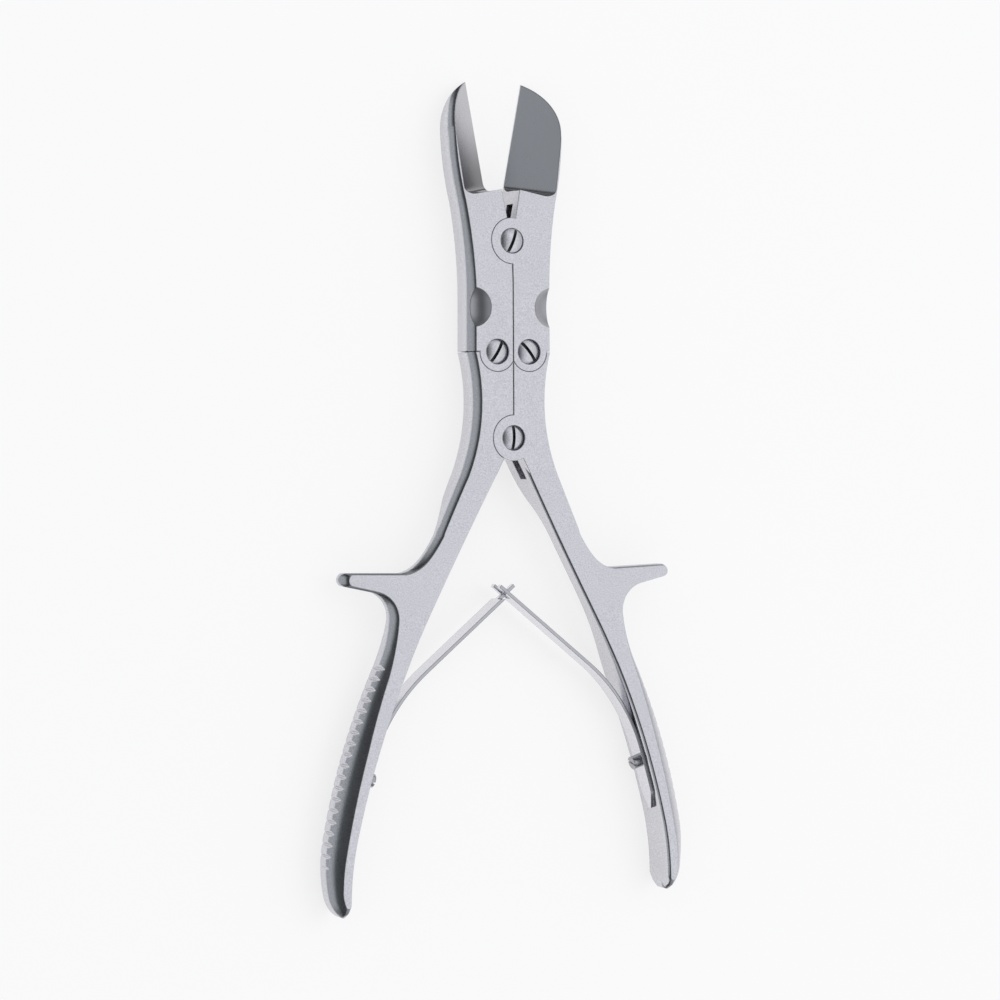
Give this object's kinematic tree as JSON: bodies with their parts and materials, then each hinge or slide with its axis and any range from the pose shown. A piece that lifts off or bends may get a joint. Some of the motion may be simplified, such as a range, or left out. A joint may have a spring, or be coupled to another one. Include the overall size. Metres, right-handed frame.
{
  "type": "bone cutting forceps",
  "caption": "Double-action bone cutting forceps: bevelled blades on linked fork-and-tongue joints, ribbed handles with finger guards, and interlocking leaf springs.",
  "frame": {"origin": "middle of the outline on the flat back plane that it lies on", "axes": "+Y to the blade tips, +Z out of the front face with the screw heads, +X to the side that carries the forks"},
  "size_m": [0.1308, 0.2696, 0.0144],
  "materials": {
    "jaw_steel": "satin front and back, polished sides and bevels",
    "handle_steel": "satin front and back, polished round sides",
    "screw_steel": "turned and polished",
    "spring_steel": "polished"
  },
  "bodies": {
    "right_handle": {"right_handle": "handle_steel", "rear_pivot_screw": "screw_steel", "right_leaf_spring": "spring_steel", "right_spring_screw": "screw_steel"},
    "left_handle": {"left_handle": "handle_steel", "left_leaf_spring": "spring_steel", "left_spring_screw": "screw_steel"},
    "right_jaw": {"right_jaw": "jaw_steel", "front_pivot_screw": "screw_steel", "right_link_screw": "screw_steel"},
    "left_jaw": {"left_jaw": "jaw_steel", "left_link_screw": "screw_steel"}
  },
  "joints": [
    {"name": "rear_pivot", "type": "hinge", "parent": "right_handle", "child": "left_handle", "pos_m": [0, 0.0184, 0.007], "axis": [0, 0, 1], "range_deg": [0, 28.43], "stiffness_Nm_per_rad": 2, "deforming": ["right_leaf_spring", "left_leaf_spring"]},
    {"name": "right_link", "type": "hinge", "parent": "right_handle", "child": "right_jaw", "pos_m": [0.0058, 0.0465, 0.007], "axis": [0, 0, 1], "range_deg": [0, 25.11]},
    {"name": "left_link", "type": "hinge", "parent": "left_handle", "child": "left_jaw", "pos_m": [-0.0058, 0.0465, 0.007], "axis": [0, 0, 1], "range_deg": [-25.11, 0]}
  ],
  "couplings": [
    {"joint": "right_link", "follows": "rear_pivot", "ratio": 0.88337},
    {"joint": "left_link", "follows": "rear_pivot", "ratio": -0.88337}
  ]
}
